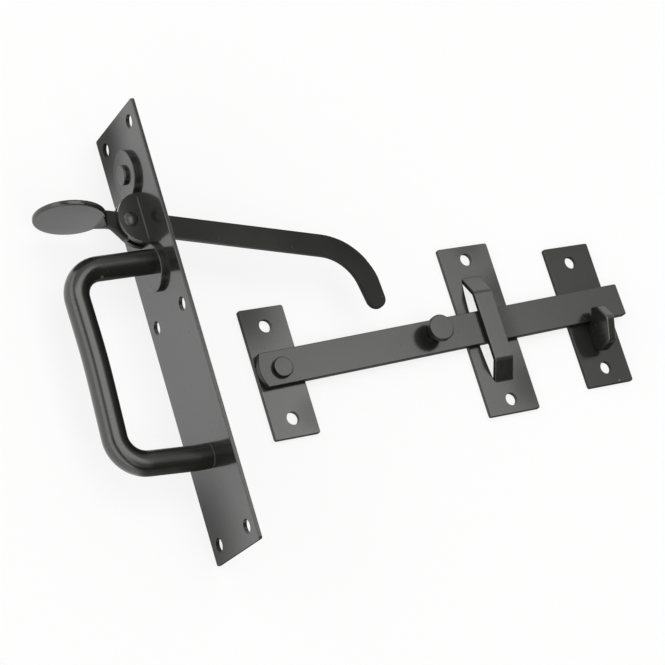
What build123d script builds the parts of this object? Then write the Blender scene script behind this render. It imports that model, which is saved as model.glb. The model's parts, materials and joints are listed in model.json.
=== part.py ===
from build123d import *
import math
import os

# A suffolk latch set in black steel, laid out on a table. The bar half lies on the backs of its
# plates. The handle half stands on one long edge of its plate, with the handle towards -X.
# X runs along the bar from its pivot to the catch, Y up the plates, Z off the table.
# The origin is on the bar's pivot, at the back of the pivot plate. Lengths in mm, angles in degrees.

# Sheet, edges and fits that several pieces share
sheet = 2.5  # plates of the bar half, and the lever bracket
corner_radius = 1.2  # corners of the plates, in plan
edge_round = 0.4  # painted edges of sheared sheet
screw_hole = 7.0
running_fit = 0.05  # radial, a piece that turns on its rivet
rivet_fit = 0.02  # radial, a rivet or tenon in a piece that it holds
face_gap = 0.2  # between flat faces that slide on each other
rivet_edge = 0.7  # rounding round a flat rivet head

# Bar
bar_width = 18.2
bar_thickness = 4.0
bar_reach = 218.0  # pivot to square end
bar_heel = 12.6  # pivot to round end
bar_heel_radius = 17.0
bar_rise = 0.6  # middle of the bar, above the pivot
bar_rest_angle = 1.55  # the bar rests a little high in the catch
bar_end_radius = 1.0

# Bar rivet
bar_rivet = 6.0
bar_rivet_head = 10.8
bar_rivet_head_height = 2.3

# Knob on the bar
knob_x = 92.9  # from the pivot
knob_rise = 1.6  # above the middle of the bar
knob_head = 14.2
knob_head_thickness = 3.0
knob_height = 10.0
knob_neck = 8.6
knob_collar = 10.4
knob_collar_height = 1.2
knob_tenon = 5.0
knob_fillet = 0.7  # under the head and round its rim

# Pivot plate
pivot_plate_y = -0.6
pivot_plate_width = 26.0
pivot_plate_length = 70.0
pivot_hole_inset = 10.0  # from each end

# Staple plate, with a strap pressed out of it for the bar to run behind
staple_inset = 88.0  # middle of the plate, back from the bar's end
staple_y = 3.4
staple_plate_width = 32.0
staple_plate_length = 96.0
staple_hole_inset = 7.75
strap_width = 11.5
strap_shift = -0.8  # off the middle of the plate
strap_flat = 38.0  # length of the raised flat
strap_leg = 10.4  # length along the plate that each sloping leg takes
strap_gap = 0.3  # above the bar
strap_bend = 2.2  # bend radius at mid thickness
shear_gap = 0.3  # slit beside the strap, at its feet
shear_bulge = 2.0  # the slit opens by this at mid length

# Catch plate, with a thick forged hook standing on it
catch_inset = 22.0  # middle of the plate, back from the bar's end
catch_y = 1.8
catch_plate_width = 30.0
catch_plate_length = 82.0
catch_hole_inset = 9.8
hook_thickness = 5.4
hook_shift = -1.0  # off the middle of the plate
hook_seat_gap = 0.3  # below the bar
hook_lip_gap = 1.3  # in front of the bar
hook_lip = 6.6  # how far the lip covers the bar
hook_lip_rise = 3.3  # the lip's underside slopes up to its tip
hook_tip_rise = 5.8  # height of the tip's blunt end
hook_tip_slant = 1.6  # the blunt end leans back by this
hook_height = 19.9  # crown above the plate's face
hook_crown = 3.0  # crown below the seat
hook_nose_drop = 5.2  # nose lower than the crown
hook_nose = 15.6  # nose below the seat
hook_belly_height = 4.6  # widest point of the back, above the plate's face
hook_belly = 17.8  # below the seat
hook_foot = 13.1  # length of the foot on the plate
hook_corner = 3.0
hook_tip_corner = 2.0
hook_round = 0.9  # rounding of its edges

# Backplate of the handle half
backplate_width = 51.6
backplate_length = 226.0
backplate_sheet = 2.0
backplate_face_x = -62.0  # front face, towards -X
backplate_y = 22.2  # middle of its length
backplate_hole_pitch = 34.0  # across the width
backplate_hole_inset = 8.7  # end rows, from each end
backplate_middle_row = 7.8  # above the middle of the plate

# Lever pivot and bracket
pivot_inset = 54.5  # below the top of the backplate
pivot_height = 7.4  # off the backplate's face
ear_radius = 13.4
ear_centre_height = 0.3
ear_fold = 1.6  # outside radius at the foot of an ear
lobe_radius = 12.2
lobe_offset = 24.8  # lever pivot to lobe
lever_gap = 0.2  # each side of the lever, between the ears
slot_margin = 0.7  # past the lever's travel
bracket_rivet = 5.0
bracket_rivet_head = 10.0
bracket_rivet_head_height = 1.8
lever_rivet = 5.0
lever_rivet_head = 7.6
lever_rivet_head_height = 2.0

# Thumb lever
lever_thickness = 3.0
lever_width = 11.75
lever_rest_angle = -14.3  # the tail hangs
lever_lift = 20.0  # full travel, tail upwards
tail_straight = 104.0
tail_bend_radius = 28.0  # at mid width
tail_bend_angle = 66.0
tail_end = 10.0  # from the bend to the middle of the round tip
tail_tip_radius = 5.3
pad_length = 35.5
pad_width = 38.2
pad_thickness = 2.8
pad_dish_radius = 150.0
pad_rim = 1.0  # rounding of its edge
pad_centre = 30.1  # in front of the pivot
pad_drop = 2.25  # below the middle of the lever
pad_tilt = 2.7
neck_depth = 9.0
neck_start = 12.3  # in front of the pivot, where the neck starts to spread
neck_length = 3.6
neck_spread = 18.0  # width where it runs out in the pad
neck_run_out = 2.2  # thickness there
neck_run_out_drop = 0.9  # below the middle of the lever
neck_corner = 0.6
hub_drop = 9.6  # the lever is deeper below its pivot
hub_front = 9.2  # in front of the pivot, where it starts to deepen
hub_corner = 2.5
lever_edge = 0.5  # rounding along the blade

# Pull handle
handle_bar = 12.5
handle_legs = 100.8
handle_reach = 43.6  # backplate's face to the grip, where it comes nearest
handle_bow = 0.45  # share of the grip above its nearest point
handle_bow_radius = 400.0
handle_top_flare = 1.0  # the grip's ends stand out further than its middle
handle_bottom_flare = 2.0
handle_bottom_rise = 2.7  # the lower bend sits higher than its foot
handle_foot = 8.0  # straight length of the lower leg at the plate
handle_foot_bend = 60.0
handle_bend = 14.5  # at the middle of the bar
handle_top_leg = 21.7  # below the lever pivot
handle_tenon = 8.0
tenon_flare = 1.0  # radial spread of a closed tenon or rivet, in its countersink

# Worked out from the sizes above
bar_floor = sheet + face_gap
bar_top = bar_floor + bar_thickness
staple_x = bar_reach - staple_inset
catch_x = bar_reach - catch_inset
bar_slope = math.tan(math.radians(bar_rest_angle))
bar_lower_side = (bar_rise - bar_width / 2) / math.cos(math.radians(bar_rest_angle))
strap_face = bar_top + strap_gap + sheet
ear_gap = lever_thickness + 2 * lever_gap
bracket_neck = ear_gap + 2 * sheet
plate_middle_z = backplate_width / 2
pivot_y = backplate_length / 2 - pivot_inset
handle_top_y = pivot_y - handle_top_leg
handle_bottom_y = handle_top_y - handle_legs

# The handle half is drawn with its plate flat: x across, y up the plate, z off its front face
handle_frame = Location(
    Plane(
        origin=(backplate_face_x, backplate_y, plate_middle_z),
        x_dir=(0, 0, 1),
        z_dir=(-1, 0, 0),
    )
)
# The lever is drawn along its own length: x from the pivot to the tail, z across the plate
lever_frame = Location(
    (backplate_face_x - pivot_height, backplate_y + pivot_y, plate_middle_z),
    (0, 0, lever_rest_angle),
)


def soften(plate):
    """Round the outer edges of a sheared plate, front and back."""
    outer = [plate.faces().sort_by(Axis.Z)[i].outer_wire().edges() for i in (0, -1)]
    return fillet(outer[0] + outer[1], edge_round)


def strip_plate(width, length, hole_inset):
    """A flat plate with a screw hole near each end."""
    outline = RectangleRounded(width, length, corner_radius)
    holes = GridLocations(0, length - 2 * hole_inset, 1, 2) * Circle(screw_hole / 2)
    return soften(extrude(outline - holes, sheet))


def countersunk_shank(diameter, depth, fit):
    """A round shank from z = 0 up that spreads in a countersink at the bottom."""
    radius = diameter / 2 + fit
    cone = Cone(radius + tenon_flare, radius, tenon_flare, align=(Align.CENTER, Align.CENTER, Align.MIN))
    return cone + Cylinder(radius, depth, align=(Align.CENTER, Align.CENTER, Align.MIN))


def dome(radius, foot, top):
    """The outline of a domed head in section, from its rim to its crown on the axis."""
    rise = top - foot
    ball = (radius**2 + rise**2) / (2 * rise)
    half_turn = math.asin(radius / ball) / 2
    shoulder = (ball * math.sin(half_turn), top - ball + ball * math.cos(half_turn))
    return ThreePointArc((radius, foot), shoulder, (0, top))


def rivet(diameter, grip, head, head_height):
    """A rivet closed flush at z = 0, with a flat head standing on z = grip."""
    radius = diameter / 2
    top = grip + head_height
    section = make_face(
        Polyline(
            (0, top),
            (0, 0),
            (radius + tenon_flare, 0),
            (radius, tenon_flare),
            (radius, grip),
            (head / 2, grip),
            (head / 2, top),
            close=True,
        )
    )
    rim = section.vertices().sort_by_distance((head / 2, top))[0]
    section = fillet(rim, rivet_edge)
    return revolve(Plane.XZ * section, Axis.Z)


def make_pivot_plate():
    plate = strip_plate(pivot_plate_width, pivot_plate_length, pivot_hole_inset)
    return Pos(0, pivot_plate_y, 0) * plate - countersunk_shank(bar_rivet, sheet, rivet_fit)


def make_bar_rivet():
    return rivet(bar_rivet, bar_top + face_gap, bar_rivet_head, bar_rivet_head_height)


def make_latch_bar():
    """Flat bar, with a rounded heel beyond its pivot and a square free end."""
    length = bar_reach + bar_heel
    outline = Pos(length / 2 - bar_heel, 0) * Rectangle(length, bar_width)
    outline = fillet(outline.vertices().group_by(Axis.X)[-1], bar_end_radius)
    heel = Pos(bar_heel_radius - bar_heel, 0) * Circle(bar_heel_radius)
    outline &= heel + Pos(length / 2, 0) * Rectangle(length, bar_width)
    outline -= Pos(0, -bar_rise) * Circle(bar_rivet / 2 + running_fit)
    outline -= Pos(knob_x, knob_rise) * Circle(knob_tenon / 2 + rivet_fit)
    bar = extrude(outline, bar_thickness)
    rims = [bar.faces().sort_by(Axis.Z)[i].outer_wire().edges() for i in (0, -1)]
    bar = fillet(rims[0] + rims[1], edge_round)
    return Rot(0, 0, bar_rest_angle) * Pos(0, bar_rise, bar_floor) * bar


def make_bar_knob():
    """Turned knob: collar, neck and flat head, with a tenon closed in the bar."""
    head_foot = knob_height - knob_head_thickness
    section = make_face(
        Polyline(
            (0, -bar_thickness),
            (knob_tenon / 2, -bar_thickness),
            (knob_tenon / 2, 0),
            (knob_collar / 2, 0),
            (knob_collar / 2, knob_collar_height),
            (knob_neck / 2, knob_collar_height),
            (knob_neck / 2, head_foot),
            (knob_head / 2, head_foot),
            (knob_head / 2, knob_height),
            (0, knob_height),
            close=True,
        )
    )
    under_head = section.vertices().sort_by_distance((knob_neck / 2, head_foot))[0]
    rim = section.vertices().sort_by_distance((knob_head / 2, knob_height))[0]
    section = fillet([under_head, rim], knob_fillet)
    knob = revolve(Plane.XZ * section, Axis.Z)
    return Rot(0, 0, bar_rest_angle) * Pos(knob_x, bar_rise + knob_rise, bar_top) * knob


def make_staple_plate():
    """Plate with a strap pressed out of it: two slits, and the metal between them raised."""
    plate = strip_plate(staple_plate_width, staple_plate_length, staple_hole_inset)
    foot = strap_flat / 2 + strap_leg
    side = strap_width / 2 + shear_gap
    slit = ThreePointArc((side, -foot), (side + shear_bulge, 0), (side, foot))
    ends = Line((side, foot), (-side, foot)) + Line((side, -foot), (-side, -foot))
    window = make_face(slit + mirror(slit, Plane.YZ) + ends)
    plate -= Pos(strap_shift, 0) * extrude(window, sheet)
    middle = strap_face - sheet / 2
    path = FilletPolyline(
        (-foot - 2 * sheet, sheet / 2),
        (-foot, sheet / 2),
        (-strap_flat / 2, middle),
        (strap_flat / 2, middle),
        (foot, sheet / 2),
        (foot + 2 * sheet, sheet / 2),
        radius=strap_bend,
    )
    section = Plane.YZ * trace(path, sheet)
    strap = extrude(section, strap_width / 2, both=True)
    sides = [strap.faces().sort_by(Axis.X)[i].edges() for i in (0, -1)]
    strap = fillet(sides[0] + sides[1], edge_round)
    return Pos(staple_x, staple_y, 0) * (plate + Pos(strap_shift, 0) * strap)


def hook_outline(seat_y):
    """The hook's flat shape: x is height above the plate, y runs up the plate."""
    lip_foot = bar_top + hook_lip_gap - sheet
    tip_foot = lip_foot + hook_lip_rise
    back_slope = (hook_belly - hook_foot) / hook_belly_height
    root = (-sheet / 2, seat_y - hook_foot + back_slope * sheet / 2)
    outer = FilletPolyline(
        root,
        (hook_belly_height, seat_y - hook_belly),
        (hook_height - hook_nose_drop, seat_y - hook_nose),
        (hook_height, seat_y - hook_crown),
        (tip_foot + hook_tip_rise, seat_y + hook_lip - hook_tip_slant),
        (tip_foot, seat_y + hook_lip),
        (lip_foot, seat_y),
        (-sheet / 2, seat_y),
        radius=[hook_corner, hook_corner, hook_corner, hook_tip_corner, hook_tip_corner / 2, hook_tip_corner],
    )
    return make_face(outer + Line((-sheet / 2, seat_y), root))


def make_catch_plate():
    """Plate with a forged hook set in it, whose lip reaches over the bar."""
    plate = strip_plate(catch_plate_width, catch_plate_length, catch_hole_inset)
    hook_x = catch_x + hook_shift
    seat_y = hook_x * bar_slope + bar_lower_side - hook_seat_gap - catch_y
    standing = Plane(origin=(hook_shift, 0, sheet), x_dir=(0, 0, 1), z_dir=(-1, 0, 0))
    hook = extrude(standing * hook_outline(seat_y), hook_thickness / 2, both=True)
    sides = [hook.faces().sort_by(Axis.X)[i].edges() for i in (0, -1)]
    rims = [edge for side in sides for edge in side if edge.center().Z > sheet / 2]
    hook = fillet(rims, hook_round)
    return Pos(catch_x, catch_y, 0) * (plate + hook)


def lever_span(height):
    """Lowest and highest point of the lever's travel, at a height off the backplate's face."""
    distance = pivot_height - height
    low, high = [], []
    for angle in (lever_rest_angle, lever_rest_angle + lever_lift):
        turn = math.radians(angle)
        half = lever_width / 2 / math.cos(turn)
        low.append(distance * math.tan(turn) - half)
        high.append(distance * math.tan(turn) + half)
    return min(low) - slot_margin, max(high) + slot_margin


def lever_slot(heights):
    """The slot that the lever swings in, through the metal between the given heights."""
    spans = [lever_span(h) for h in heights]
    low = min(s[0] for s in spans)
    high = max(s[1] for s in spans)
    return Pos(0, pivot_y + (low + high) / 2) * Rectangle(ear_gap, high - low)


def make_backplate():
    plate = RectangleRounded(backplate_width, backplate_length, corner_radius)
    end_row = backplate_length / 2 - backplate_hole_inset
    for row in (-end_row, backplate_middle_row, end_row):
        plate -= Pos(0, row) * GridLocations(backplate_hole_pitch, 0, 2, 1) * Circle(screw_hole / 2)
    plate -= lever_slot((-backplate_sheet, 0))
    plate = Pos(0, 0, -backplate_sheet) * soften(extrude(plate, backplate_sheet))
    tenon_hole = countersunk_shank(handle_tenon, backplate_sheet, rivet_fit)
    for leg_y in (handle_top_y, handle_bottom_y):
        plate -= Pos(0, leg_y, -backplate_sheet) * tenon_hole
    rivet_hole = countersunk_shank(bracket_rivet, backplate_sheet, rivet_fit)
    plate -= Pos(0, pivot_y + lobe_offset, -backplate_sheet) * rivet_hole
    return handle_frame * plate


def make_lever_bracket():
    """Pressed bracket: two round lobes on the plate, and two round ears folded up beside the lever."""
    lobes = Sketch() + [Pos(0, pivot_y + side * lobe_offset) * Circle(lobe_radius) for side in (-1, 1)]
    neck = Pos(0, pivot_y) * Rectangle(bracket_neck, 2 * lobe_offset)
    base = lobes + neck
    base -= lever_slot((0, sheet))
    base -= Pos(0, handle_top_y) * Circle(handle_tenon / 2 + rivet_fit)
    base -= Pos(0, pivot_y + lobe_offset) * Circle(bracket_rivet / 2 + rivet_fit)
    bracket = extrude(base, sheet)
    lobe_rims = bracket.edges().filter_by(GeomType.CIRCLE).group_by(SortBy.RADIUS)[-1]
    bracket = fillet(lobe_rims.group_by(Axis.Z)[-1], edge_round)
    disc = Pos(0, ear_centre_height) * Circle(ear_radius)
    above_plate = Pos(0, ear_radius) * Rectangle(2 * ear_radius, 2 * ear_radius)
    ear_face = disc & above_plate
    ear_face -= Pos(0, pivot_height) * Circle(lever_rivet / 2 + rivet_fit)
    for side in (-1, 1):
        ear = extrude(ear_face, sheet)
        foot = ear.faces().sort_by(Axis.Y)[0].edges().filter_by(Axis.X).sort_by(Axis.Z)[-1]
        ear = fillet(foot, ear_fold)
        outside = Plane(
            origin=(side * ear_gap / 2, pivot_y, 0),
            x_dir=(0, side, 0),
            z_dir=(side, 0, 0),
        )
        bracket += outside * ear
    return handle_frame * bracket


def make_bracket_rivet():
    grip = backplate_sheet + sheet
    body = rivet(bracket_rivet, grip, bracket_rivet_head, bracket_rivet_head_height)
    return handle_frame * Pos(0, pivot_y + lobe_offset, -backplate_sheet) * body


def make_lever_rivet():
    """Pin through both ears and the lever, closed with a domed head on each side."""
    radius = lever_rivet / 2
    half = bracket_neck / 2
    crown = half + lever_rivet_head_height
    outline = Polyline((0, crown), (0, 0), (radius, 0), (radius, half), (lever_rivet_head / 2, half))
    section = make_face(outline + dome(lever_rivet_head / 2, half, crown))
    half_pin = revolve(Plane.XZ * section, Axis.Z)
    pin = half_pin + mirror(half_pin, Plane.XY)
    return lever_frame * pin


def make_pull_handle():
    """Round bar bent to a D, each end turned down to a tenon and closed in the back of the plate."""
    path = FilletPolyline(
        (0, handle_top_y, sheet),
        (0, handle_top_y, handle_reach + handle_top_flare),
        (0, handle_top_y - handle_legs * handle_bow, handle_reach),
        (0, handle_bottom_y + handle_bottom_rise, handle_reach + handle_bottom_flare),
        (0, handle_bottom_y, handle_foot),
        (0, handle_bottom_y, 0),
        radius=[handle_bend, handle_bow_radius, handle_bend, handle_foot_bend],
    )
    start = Plane(origin=(0, handle_top_y, sheet), z_dir=(0, 0, 1))
    handle = sweep(start * Circle(handle_bar / 2), path)
    tenon = countersunk_shank(handle_tenon, backplate_sheet + 2 * sheet, 0)
    for leg_y in (handle_top_y, handle_bottom_y):
        handle += Pos(0, leg_y, -backplate_sheet) * tenon
    return handle_frame * handle


def make_thumb_lever():
    """Forged lever: dished thumb pad, deep hub at the pivot, flat tail that hooks down at its end."""
    half = lever_width / 2
    path = Line((0, 0), (tail_straight, 0))
    bend = JernArc(path @ 1, path % 1, tail_bend_radius, -tail_bend_angle)
    tail = trace(path + bend, lever_width)
    along = bend % 1
    inward = Vector(along.Y, -along.X)
    tip = bend @ 1 + along * tail_end + inward * (half - tail_tip_radius)
    ends = (Location(bend @ 1) * Circle(half)).edges() + (Location(tip) * Circle(tail_tip_radius)).edges()
    tail += make_hull(ends)
    hub = make_face(
        Polyline(
            (-neck_start, neck_depth / 2),
            (-half / 2, neck_depth / 2),
            (half / 2, half),
            (half / 2, -half),
            (0, -hub_drop),
            (-half / 2, -hub_drop),
            (-hub_front, -neck_depth / 2),
            (-neck_start, -neck_depth / 2),
            close=True,
        )
    )
    bends = hub.vertices().sort_by_distance((-half / 2, -hub_drop))[0:1]
    bends += hub.vertices().sort_by_distance((-hub_front, -neck_depth / 2))[0:1]
    hub = fillet(bends, hub_corner)
    profile = tail + hub
    profile -= Circle(lever_rivet / 2 + running_fit)
    blade = extrude(profile, lever_thickness / 2, both=True)
    rims = [blade.faces().sort_by(Axis.Z)[i].outer_wire().edges() for i in (0, -1)]
    blade = fillet(rims[0] + rims[1], lever_edge)
    ball = Pos(0, pad_dish_radius)
    shell = ball * Circle(pad_dish_radius + pad_thickness / 2)
    shell -= ball * Circle(pad_dish_radius - pad_thickness / 2)
    slice_of_pad = shell & (Pos(pad_length / 4, 0) * Rectangle(pad_length / 2, pad_length / 2))
    rim = slice_of_pad.vertices().group_by(Axis.X)[-1]
    slice_of_pad = fillet(rim, pad_rim)
    pad = revolve(slice_of_pad, Axis.Y)
    pad = scale(pad, (1, 1, pad_width / pad_length))
    pad = Pos(-pad_centre, -pad_drop, 0) * Rot(0, 0, pad_tilt) * pad
    root = RectangleRounded(neck_depth, lever_thickness, neck_corner)
    run_out = RectangleRounded(neck_run_out, neck_spread, neck_corner)
    neck = loft(
        [
            Plane.YZ.offset(-neck_start + 2 * lever_edge) * root,
            Plane.YZ.offset(-neck_start - neck_length) * Pos(-neck_run_out_drop, 0) * run_out,
        ]
    )
    return lever_frame * (blade + pad + neck)


pieces = {
    "pivot_plate": make_pivot_plate,
    "bar_rivet": make_bar_rivet,
    "latch_bar": make_latch_bar,
    "bar_knob": make_bar_knob,
    "staple_plate": make_staple_plate,
    "catch_plate": make_catch_plate,
    "backplate": make_backplate,
    "lever_bracket": make_lever_bracket,
    "bracket_rivet": make_bracket_rivet,
    "lever_rivet": make_lever_rivet,
    "pull_handle": make_pull_handle,
    "thumb_lever": make_thumb_lever,
}

os.makedirs("parts", exist_ok=True)
for name, make in pieces.items():
    export_step(make(), f"parts/{name}.step")
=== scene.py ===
# %% [markdown]
# A suffolk latch in gloss black paint, laid out in its two halves on a white table. The solids come
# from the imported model, already at their real size and place, so this script gives them what a solid
# lacks: paint, light, a table and a camera.

# %% Load the latch
import json

import bpy
from mathutils import Matrix, Vector

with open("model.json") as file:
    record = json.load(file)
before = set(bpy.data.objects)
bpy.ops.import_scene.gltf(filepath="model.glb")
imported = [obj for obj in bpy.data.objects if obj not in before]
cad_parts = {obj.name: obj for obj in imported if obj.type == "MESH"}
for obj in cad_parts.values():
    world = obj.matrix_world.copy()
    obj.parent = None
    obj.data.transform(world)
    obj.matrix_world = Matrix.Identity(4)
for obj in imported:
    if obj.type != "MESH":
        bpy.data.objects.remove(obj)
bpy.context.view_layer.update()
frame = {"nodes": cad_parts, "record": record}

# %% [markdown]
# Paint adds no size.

print("pieces:", sorted(frame["nodes"]))

# %% [markdown]
# The paint is made of nodes, and most of it is arithmetic on masks and noise. Wiring every Math node
# by hand hides that arithmetic. A small class that stands for a socket can take the operators
# instead, so a line such as 1 - wear * 0.3 adds the nodes by itself.

# %% Shader maths as plain expressions
X, Y, Z = 0, 1, 2


class Value:
    """What comes out of a node. The operators of a number add Math nodes to it."""

    def __init__(self, paint, socket):
        self.paint = paint
        self.socket = socket

    def maths(self, operation, first, second):
        return self.paint.node("ShaderNodeMath", {"operation": operation}, {0: first, 1: second})

    def __add__(self, other):
        return self.maths("ADD", self, other)

    def __radd__(self, other):
        return self.maths("ADD", other, self)

    def __sub__(self, other):
        return self.maths("SUBTRACT", self, other)

    def __rsub__(self, other):
        return self.maths("SUBTRACT", other, self)

    def __mul__(self, other):
        return self.maths("MULTIPLY", self, other)

    def __rmul__(self, other):
        return self.maths("MULTIPLY", other, self)

    def __truediv__(self, other):
        return self.maths("DIVIDE", self, other)

    def __rtruediv__(self, other):
        return self.maths("DIVIDE", other, self)

    def ramp(self, low, high):
        """0 below low, 1 above high, smooth between."""
        return self.paint.node(
            "ShaderNodeMapRange",
            {"interpolation_type": "SMOOTHSTEP"},
            {"Value": self, "From Min": low, "From Max": high},
        )

    def between(self, rise, fall):
        """1 between two slopes and 0 outside them. A slope is where it starts and where it ends."""
        return self.ramp(*rise) * (1 - self.ramp(*fall))


class Tree:
    """A node tree that grows one node at a time."""

    def __init__(self, owner):
        owner.use_nodes = True
        self.tree = owner.node_tree
        self.tree.nodes.clear()

    def node(self, kind, settings=None, inputs=None, out=0):
        """Add a node, set it up, feed its sockets, and hand back one of its outputs."""
        made = self.tree.nodes.new(kind)
        for name, value in (settings or {}).items():
            setattr(made, name, value)
        for name, value in (inputs or {}).items():
            socket = made.inputs[name]
            if isinstance(value, Value):
                self.tree.links.new(value.socket, socket)
            else:
                socket.default_value = value
        return Value(self, made.outputs[out]) if len(made.outputs) else made

    def along(self, vector, axis):
        """How far a place or a direction reaches along one axis."""
        return self.node("ShaderNodeSeparateXYZ", {}, {"Vector": vector}, out=axis)

    def pair(self, operation, first, second):
        """A number made of two vectors."""
        inputs = {0: first, 1: second}
        return self.node("ShaderNodeVectorMath", {"operation": operation}, inputs, out=1)

    def noise(self, place, scale, detail):
        inputs = {"Vector": place, "Scale": scale, "Detail": detail}
        return self.node("ShaderNodeTexNoise", {}, inputs)

    def blend(self, share, first, second):
        """A colour between two. A Mix node's colours are its inputs 6 and 7 and its output 2."""
        inputs = {0: share, 6: first, 7: second}
        return self.node("ShaderNodeMix", {"data_type": "RGBA"}, inputs, out=2)


print("shader tools ready")

# %% [markdown]
# The camera stands where the photographer's did: in front of the handle, low on the plates, looking
# down at the table. A long lens keeps the plates' sides almost parallel. Its place was solved from
# the straight edges of the four plates, so it is written as a point and two directions.

# %% Camera
eye = Vector((-0.4967, -0.2430, 0.9152))
to_the_right = Vector((0.8603, -0.2862, 0.4218)).normalized()
forward = Vector((0.4901, 0.2373, -0.8387)).normalized()
upward = to_the_right.cross(forward).normalized()
to_the_right = forward.cross(upward).normalized()
lens_data = bpy.data.cameras.new("camera")
lens_data.sensor_width = 36.0
lens_data.lens = 114.15
camera = bpy.data.objects.new("camera", lens_data)
bpy.context.scene.collection.objects.link(camera)
turn = Matrix((to_the_right, upward, -forward)).transposed().to_4x4()
camera.matrix_world = Matrix.Translation(eye) @ turn
bpy.context.scene.camera = camera
print("camera at", [round(v, 3) for v in eye])

# %% [markdown]
# Black gloss paint has almost no colour of its own: what it shows is the room. Round forms read the
# room like a strip of film, so the streaks along the grip say what hung over the table: a large soft
# box above and to the left, a dark gap, and a bright wall low on the left. The flat bar reads a
# second box to the right, which fades towards the catch. The front is dark and the back is dim. All
# of it is drawn on the world by direction: how far a ray leans right and back as it rises. Low down
# the room is white all round, so a camera near the table still has a white background.

# %% Studio light
room_level = 0.12
box_level = 1.85
right_box_share = 2.0  # of the left box's level
right_box_fade = 0.90
left_wall_share = 0.85  # of the left box's level
left_wall_fade = 0.25  # lost where it meets the back wall
back_wall_level = 0.40
warm_white = (1.0, 1.0, 0.985, 1.0)

bpy.context.scene.view_settings.view_transform = "Standard"
studio = bpy.data.worlds.new("studio")
bpy.context.scene.world = studio
sky = Tree(studio)
ray = sky.node("ShaderNodeTexCoord", out="Generated")
ray_up = sky.along(ray, Z)
lean_right = sky.along(ray, X) / ray_up
lean_back = sky.along(ray, Y) / ray_up
left_box = lean_right.between((-0.62, -0.35), (0.33, 0.46))
left_box = left_box * lean_back.between((-1.6, -1.0), (0.45, 0.75))
right_box = lean_right.ramp(0.48, 0.53) * (1 - right_box_fade * lean_right.ramp(0.50, 0.80))
right_box = right_box_share * right_box * lean_back.between((0.08, 0.18), (0.275, 0.36))
back_wall = lean_back.ramp(0.28, 0.42)
left_wall = left_wall_share * (1 - lean_right.ramp(-1.35, -0.95)) * (1 - back_wall * left_wall_fade)
lights = box_level * (left_box + right_box + left_wall) + back_wall_level * back_wall
room = room_level + ray_up.ramp(0.0, 0.05) * lights
low_down = 1 - ray_up.ramp(0.12, 0.26)
brightness = room * (1 - low_down) + low_down
glow = sky.node("ShaderNodeBackground", {}, {"Color": warm_white, "Strength": brightness})
sky.node("ShaderNodeOutputWorld", {}, {"Surface": glow})
print("soft boxes at", box_level, "in a room at", room_level)

# %% [markdown]
# The table is a white sheet. A lit white surface would show every fall of the light as a grey stain,
# so most of what the camera and the paint see of it is a steady white, and a share of real diffuse
# white keeps the latch's own soft shadow on it.

# %% White table
table_size = 6.0
table_middle = (0.05, 0.02, -0.0002)  # a hair below the latch
steady_share = 0.80
rays_that_see_it = ("Is Camera Ray", "Is Glossy Ray", "Is Transmission Ray")

bpy.ops.object.select_all(action="DESELECT")
bpy.ops.mesh.primitive_grid_add(
    x_subdivisions=4, y_subdivisions=4, size=table_size, location=table_middle)
table = bpy.context.active_object
table.name = "table"
bpy.ops.object.transform_apply(location=True, rotation=False, scale=False)
white = bpy.data.materials.new("white_table")
sheet_white = Tree(white)
by_eye, by_gloss, through_glass = [
    sheet_white.node("ShaderNodeLightPath", out=kind) for kind in rays_that_see_it]
steady = (by_eye + by_gloss + through_glass) * steady_share
lit = sheet_white.node("ShaderNodeBsdfDiffuse", {}, {"Color": (0.94, 0.94, 0.94, 1.0)})
flat = sheet_white.node(
    "ShaderNodeEmission", {}, {"Color": (1.0, 1.0, 1.0, 1.0), "Strength": 1.0})
both = sheet_white.node("ShaderNodeMixShader", {}, {0: steady, 1: lit, 2: flat})
sheet_white.node("ShaderNodeOutputMaterial", {}, {"Surface": both})
table.data.materials.append(white)
print("table:", len(table.data.polygons), "faces")

# %% [markdown]
# The paint itself. Sprayed gloss black is a dark base under a hard clear skin. The skin mirrors the
# room, and it is not quite flat: it has a fine ripple left by the spray and a slow wave left by the
# sheet below. Along the edges it pulls thin, which rounds them and lets a little grey through; the
# same grey, laid on more strongly, is a painted highlight along the edges. The spray falls on the
# faces, so sheared and turned sides are left with a thin dull coat. One function mixes all of that,
# and masks say where each finish is duller or worn, where a painted highlight lies and where a painted
# shadow lies.

# %% Black paint
blotches_per_metre = 55.0
grains_per_metre = 900.0
waves_per_metre = 16.0
specks_per_metre = 420.0
edge_rounding = 0.0004
wave_height = 0.001
ripple_height = 0.0001
# The grey of chipped, dusty and worn-through paint, and also of the painted highlights on edges and on
# the near ear.
wear_dust_and_highlight_grey = (0.15, 0.15, 0.14, 1.0)  # where the paint is thin


def shade(tone, share):
    return (*[share * channel for channel in tone], 1.0)


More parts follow.
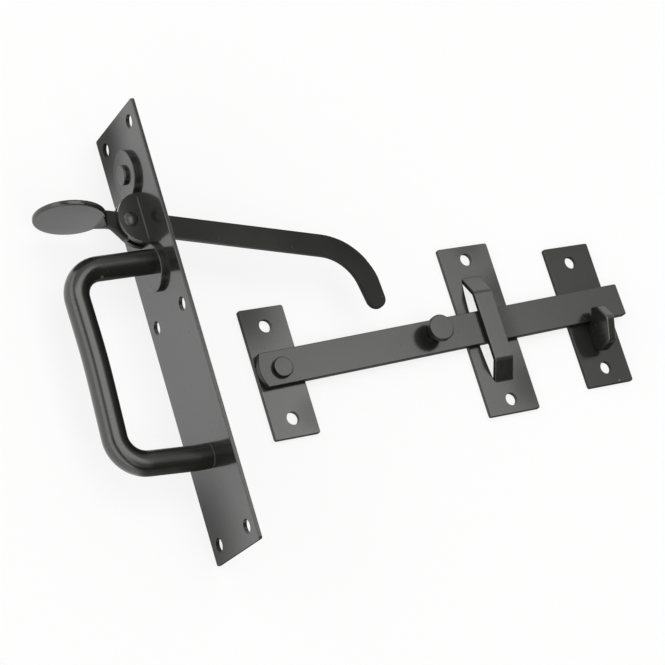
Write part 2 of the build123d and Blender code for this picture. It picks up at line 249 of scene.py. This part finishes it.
def black_paint(name, tone, skin_index, skin_roughness, wave, ripple=0.10, rubbed_and_highlit=0.15,
                dull_sides=None, satin=None, thin_and_highlit=None):
    """Gloss black on a base of one tone. wave and ripple say how uneven its skin is, and a third
    number how grey its edges are, partly from wear and partly as a painted highlight. The masks are 1
    on dull sides, 1 where the skin is satin and along the painted shadow of the strap, and 1 where the
    paint wears through, is chipped, or carries a painted highlight."""
    material = bpy.data.materials.new(name)
    paint = Tree(material)
    place = paint.node("ShaderNodeTexCoord", out="Object")
    blotch = paint.noise(place, blotches_per_metre, 3.0)
    grain = paint.noise(place, grains_per_metre, 2.0)
    slow = paint.noise(place, waves_per_metre, 1.0)
    dust = paint.noise(place, specks_per_metre, 1.0).ramp(0.72, 0.80)
    side = dull_sides(paint) if dull_sides else 0.0
    dull = satin(paint, place) if satin else 0.0
    worn_and_highlit = thin_and_highlit(paint, place, grain) if thin_and_highlit else 0.0

    rounded = paint.node("ShaderNodeBevel", {"samples": 6}, {"Radius": edge_rounding})
    outward = paint.node("ShaderNodeNewGeometry", out="Normal")
    edge = (1 - paint.pair("DOT_PRODUCT", rounded, outward)).ramp(0.01, 0.25)
    # Grey along the edges: partly worn paint, partly a painted highlight on the edges.
    edge_wear_and_highlight = edge * blotch.ramp(0.45, 0.65)
    base = paint.blend(blotch.ramp(0.3, 0.7), shade(tone, 0.85), shade(tone, 1.2))
    # Worn edges, dust, chips and painted highlights all mix the base towards that grey.
    greyed = paint.blend(edge_wear_and_highlight * rubbed_and_highlit + dust * 0.20 + worn_and_highlit, base, wear_dust_and_highlight_grey)
    waved = paint.node("ShaderNodeBump", {}, {
        "Strength": wave, "Distance": wave_height, "Height": slow, "Normal": rounded,
    })
    rippled = paint.node("ShaderNodeBump", {}, {
        "Strength": ripple, "Distance": ripple_height, "Height": grain, "Normal": waved,
    })

    glossy = paint.node("ShaderNodeBsdfPrincipled", {}, {
        "Base Color": greyed,
        "Roughness": 0.42 + blotch * 0.10 + dust * 0.15 + dull * 0.12,
        "IOR": 1.45,
        "Specular IOR Level": 0.12,
        "Coat Weight": 1 - dust * 0.3 - dull * 0.75 - worn_and_highlit * 0.6,
        "Coat IOR": skin_index,
        "Coat Roughness": skin_roughness,
        "Normal": rippled,
    })
    matt = paint.node("ShaderNodeBsdfPrincipled", {}, {
        "Base Color": greyed,
        "Roughness": 1.0,
        "Specular IOR Level": 0.0,
        "Normal": rippled,
    })
    mixed = paint.node("ShaderNodeMixShader", {}, {0: side, 1: glossy, 2: matt})
    paint.node("ShaderNodeOutputMaterial", {}, {"Surface": mixed})
    print("paint:", name, len(paint.tree.nodes), "nodes")
    return material


print("paint mixer ready")

# %% [markdown]
# Masks for the sides. The bar half lies flat, so whatever faces up is a gloss face and the rest is a
# side. The handle half stands on edge, so its gloss faces look along X, and its ears look up. The
# round handle was sprayed from one side: the front of its legs and the back of its grip caught
# little.

# %% Dull sides
sheared_side = 0.85  # how matt it is
side_towards_pivot = 0.55
unsprayed_handle = 0.78


def facing(paint, axis):
    """How far the surface faces along one axis of the piece, from -1 to 1."""
    return paint.along(paint.node("ShaderNodeTexCoord", out="Normal"), axis)


def sides_of_flat_pieces(paint):
    towards_pivot = (0 - facing(paint, X)).ramp(0.5, 0.9)
    towards_front = (0 - facing(paint, Y)).ramp(0.35, 0.60)
    face = facing(paint, Z).ramp(0.45, 0.93) * (1 - 0.7 * towards_front)
    return (sheared_side - (sheared_side - side_towards_pivot) * towards_pivot) * (1 - face)


def sides_of_backplate(paint):
    across = facing(paint, X)
    face = (across * across).ramp(0.12, 0.56)
    upper_edge = facing(paint, Z).ramp(0.30, 0.70)
    return sheared_side * (1 - face) * (1 - upper_edge)


def shaded_sides_of_handle(paint):
    across = facing(paint, X)
    front_of_legs = (0 - facing(paint, Y)).ramp(0.10, 0.42) * across.ramp(-0.50, -0.20)
    back_of_grip = across.ramp(0.00, 0.22)
    return unsprayed_handle * (1 - (1 - front_of_legs) * (1 - back_of_grip))


print("masks for dull sides ready")

# %% [markdown]
# Masks for satin places. The lever's neck and tail are satin, and the thumb pad is glossiest along
# its upper side. The skin thins towards the corners of the plates and over most of the catch plate,
# and the handle's legs are duller than its grip. A dull band on the bar beside the strap is a painted
# shadow of the strap.

# %% Satin places and the painted shadow of the strap
sheet_face = 0.0025  # height of the bar half's plates
plate_patches = (  # x and y, inner and outer distance, strength
    (-0.013, 0.034, 0.005, 0.032, 0.80),
    (0.012, -0.025, 0.002, 0.014, 0.30),
    (0.147, 0.022, 0.004, 0.020, 0.60),
    (0.132, 0.053, 0.002, 0.014, 0.40),
    (0.148, -0.030, 0.004, 0.024, 0.60),
    (0.114, 0.004, 0.004, 0.018, 0.35),
)


def spot(paint, place, middle, inner, outer):
    """1 within the inner distance of a point, 0 past the outer one."""
    return 1 - paint.pair("DISTANCE", place, middle).ramp(inner, outer)


def lever_sheen(paint, place):
    along_lever = paint.along(place, X)
    neck_and_tail = 0.80 * along_lever.ramp(-0.086, -0.079) + 0.40 * along_lever.ramp(-0.040, 0.045)
    low_side_of_pad = 0.47 * (1 - paint.along(place, Z).ramp(0.010, 0.042))
    return neck_and_tail + low_side_of_pad * (1 - along_lever.ramp(-0.085, -0.078))


def backplate_corners(paint, place):
    upper = spot(paint, place, (-0.062, 0.131, 0.004), 0.008, 0.042)
    lower = spot(paint, place, (-0.062, -0.077, -0.004), 0.008, 0.056)
    return 1.15 * upper + 0.95 * lower


def plate_corners(paint, place):
    dull = 0.65 * paint.along(place, X).ramp(0.160, 0.176)  # the catch plate
    for x, y, inner, outer, strength in plate_patches:
        dull = dull + strength * spot(paint, place, (x, y, sheet_face), inner, outer)
    on_the_sheet = 1 - paint.along(place, Z).ramp(0.0030, 0.0050)
    return dull * on_the_sheet


def handle_legs(paint, place):
    return 0.50 * paint.along(place, X).ramp(-0.102, -0.086)


# A dull band on the bar beside the strap: a painted shadow of the strap.
def painted_strap_shadow(paint, place):
    return 0.45 * paint.along(place, X).between((0.131, 0.136), (0.137, 0.149))


print("masks for satin places ready,", len(plate_patches), "patches on the plates")

# %% [markdown]
# Masks for worn places and painted highlights. A painted highlight runs along the fold and the rim of
# the near ear, and the feet of the handle show a worn line. One corner of the catch plate has lost two
# flecks of paint, and the handle's upper bend carries a small scuff. The grain of the paint makes the
# flecks and the scuff ragged.

# %% Worn places and painted highlights
ear_middle = (-0.0623, 0.0807, 0.0293)
ear_rim_slopes = (0.0129, 0.0131), (0.0137, 0.0139)  # distance from its middle
flecks = ((0.2019, -0.0378, 0.0007), (0.2049, -0.0370, 0.0004))  # x, y and size
scuff_middle = (-0.0921, 0.0535, 0.0288)


def catch_corner_flecks(paint, place, grain):
    lost = 0.0
    for x, y, size in flecks:
        away = paint.pair("DISTANCE", place, (x, y, sheet_face)) + grain * 0.0008
        lost = lost + 1 - away.ramp(size, size * 1.9)
    return lost


# A painted highlight in grey along the fold and the rim of the near ear.
def ear_painted_highlights(paint, place, grain):
    along_x = paint.along(place, X)
    along_y = paint.along(place, Y)
    fold = along_x.between((-0.0635, -0.0631), (-0.0627, -0.0623))
    fold = fold * along_y.between((0.068, 0.071), (0.090, 0.093))
    rim = paint.pair("DISTANCE", place, ear_middle).between(*ear_rim_slopes)
    rim = rim * (1 - along_y.ramp(0.076, 0.084)) * (1 - along_x.ramp(-0.068, -0.066))
    on_near_ear = paint.along(place, Z).ramp(0.0285, 0.0295)
    return (0.6 * fold + rim) * on_near_ear


def handle_marks(paint, place, grain):
    feet = 0.45 * paint.along(place, X).ramp(-0.0627, -0.0625)
    away = paint.pair("DISTANCE", place, scuff_middle) + grain * 0.0010
    return feet + 0.6 * (1 - away.ramp(0.0008, 0.0018))


print("masks for worn places ready,", len(flecks), "flecks on the catch plate")

# %% [markdown]
# Six paints. They differ in how strongly the skin mirrors the room and how blurred the mirror is: the
# backplate and the lever are clearest, the plates of the bar half mirror more but softer, and the pin
# through the ears is the most blurred. The forged lever is a shade lighter, with a coarser ripple.

# %% Mix the paints
coal = (0.0120, 0.0120, 0.0112)
forged = (0.0145, 0.0145, 0.0137)
flat_plate_paint = black_paint(
    "plate_gloss", coal, skin_index=1.95, skin_roughness=0.22, wave=0.6,
    dull_sides=sides_of_flat_pieces, satin=plate_corners, thin_and_highlit=catch_corner_flecks)
# The backplate paint carries the painted highlight on the near ear.
backplate_paint = black_paint(
    "backplate_gloss", coal, skin_index=1.72, skin_roughness=0.13, wave=0.4,
    dull_sides=sides_of_backplate, satin=backplate_corners, thin_and_highlit=ear_painted_highlights)
# The bar paint carries the painted shadow of the strap.
bar_paint = black_paint(
    "bar_gloss", coal, skin_index=1.80, skin_roughness=0.22, wave=0.3,
    dull_sides=sides_of_flat_pieces, satin=painted_strap_shadow)
handle_paint = black_paint(
    "handle_gloss", coal, skin_index=1.80, skin_roughness=0.20, wave=0.2,
    dull_sides=shaded_sides_of_handle, satin=handle_legs, thin_and_highlit=handle_marks)
# The lever's edges are greyed strongly: a painted highlight along its arrises.
lever_paint = black_paint(
    "lever_gloss", forged, skin_index=1.66, skin_roughness=0.10, wave=0.2, ripple=0.35, rubbed_and_highlit=1.3,
    satin=lever_sheen)
pin_paint = black_paint("pin_gloss", coal, skin_index=1.75, skin_roughness=0.36, wave=0.2)

# %% [markdown]
# Each solid names the slot that its paint belongs in. Pieces of the handle half that share a slot with
# the bar half stand on edge, so they are given their own paint by name.

# %% Paint each piece
finishes = {
    "plate_paint": flat_plate_paint,
    "bar_paint": bar_paint,
    "handle_paint": handle_paint,
    "lever_paint": lever_paint,
}
handle_half = {
    "backplate": backplate_paint,
    "lever_bracket": backplate_paint,
    "bracket_rivet": backplate_paint,
    "lever_rivet": pin_paint,
}
for part in frame["record"]["subparts"]:
    piece = frame["nodes"][part["node"]]
    finish = handle_half.get(part["node"], finishes[part["material_slot"]])
    for slot in piece.material_slots:
        slot.material = finish
    print(part["node"], "->", finish.name)
